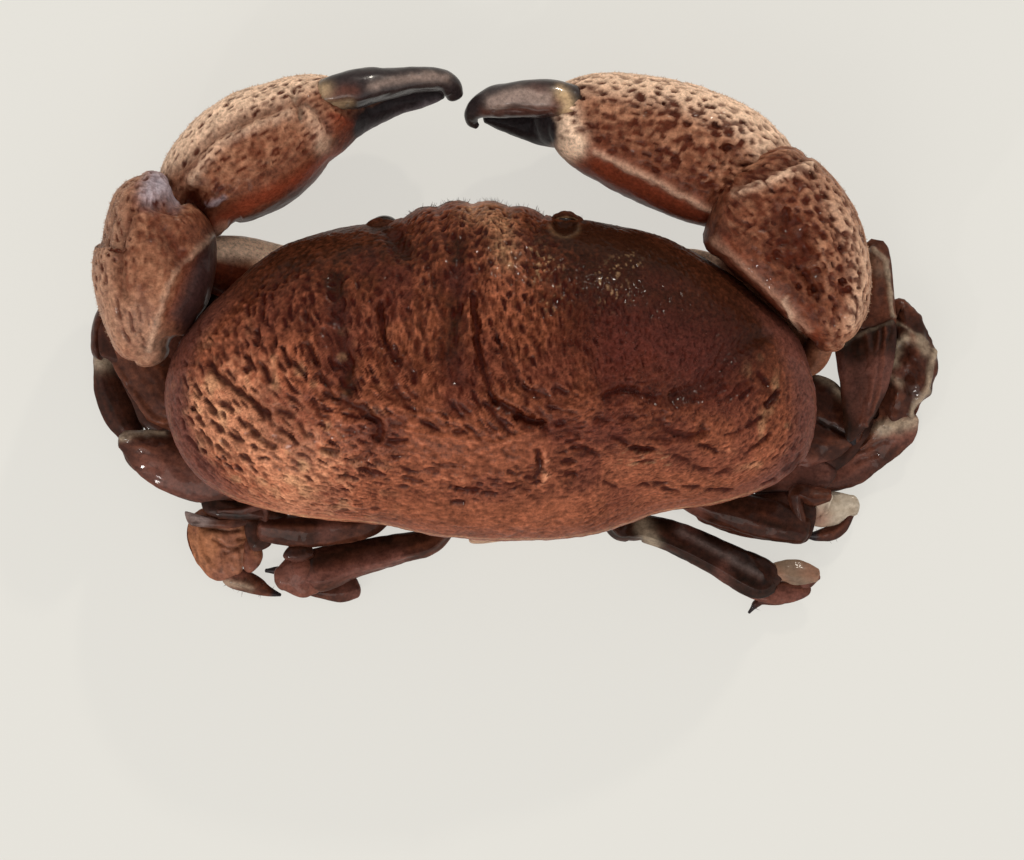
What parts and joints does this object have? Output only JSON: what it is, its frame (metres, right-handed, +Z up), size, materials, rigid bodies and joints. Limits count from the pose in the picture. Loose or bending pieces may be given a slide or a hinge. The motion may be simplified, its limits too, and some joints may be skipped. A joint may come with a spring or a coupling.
{
  "type": "dried crab specimen",
  "caption": "Dried reef crab, a broad oval pitted shell with curled black-tipped claws and folded legs, lying on its belly.",
  "frame": {"origin": "bottom centre of the whole crab's box, on the surface that it lies on", "axes": "+X towards the crab's right claw, +Y towards its front, +Z up"},
  "size_m": [0.1152, 0.0742, 0.035],
  "materials": {
    "shell": "satin",
    "claws": "satin",
    "claw_tips": "glossy",
    "legs": "satin",
    "underside": "satin",
    "eyes": "glossy"
  },
  "bodies": {
    "root": {"carapace": "shell", "eye_left": "eyes", "eye_right": "eyes", "breastplate": "underside", "tail_flap": "underside", "mouthpart_left": "underside", "mouthpart_right": "underside", "arm_left": "claws", "wrist_left": "claws", "palm_left": "claws", "finger_left": "claw_tips", "arm_right": "claws", "wrist_right": "claws", "palm_right": "claws", "finger_right": "claw_tips", "leg1_left_thigh": "legs", "leg1_left_knee": "legs", "leg1_left_shin": "legs", "leg1_left_tip": "legs", "leg2_left_thigh": "legs", "leg2_left_knee": "legs", "leg2_left_shin": "legs", "leg2_left_tip": "legs", "leg3_left_thigh": "legs", "leg3_left_knee": "legs", "leg3_left_shin": "legs", "leg3_left_tip": "legs", "leg4_left_thigh": "legs", "leg4_left_knee": "legs", "leg4_left_shin": "legs", "leg4_left_tip": "legs", "leg1_right_thigh": "legs", "leg1_right_knee": "legs", "leg1_right_shin": "legs", "leg1_right_tip": "legs", "leg2_right_thigh": "legs", "leg2_right_knee": "legs", "leg2_right_shin": "legs", "leg2_right_tip": "legs", "leg3_right_thigh": "legs", "leg3_right_knee": "legs", "leg3_right_shin": "legs", "leg3_right_tip": "legs", "leg4_right_thigh": "legs", "leg4_right_knee": "legs", "leg4_right_shin": "legs", "leg4_right_tip": "legs"}
  },
  "joints": []
}
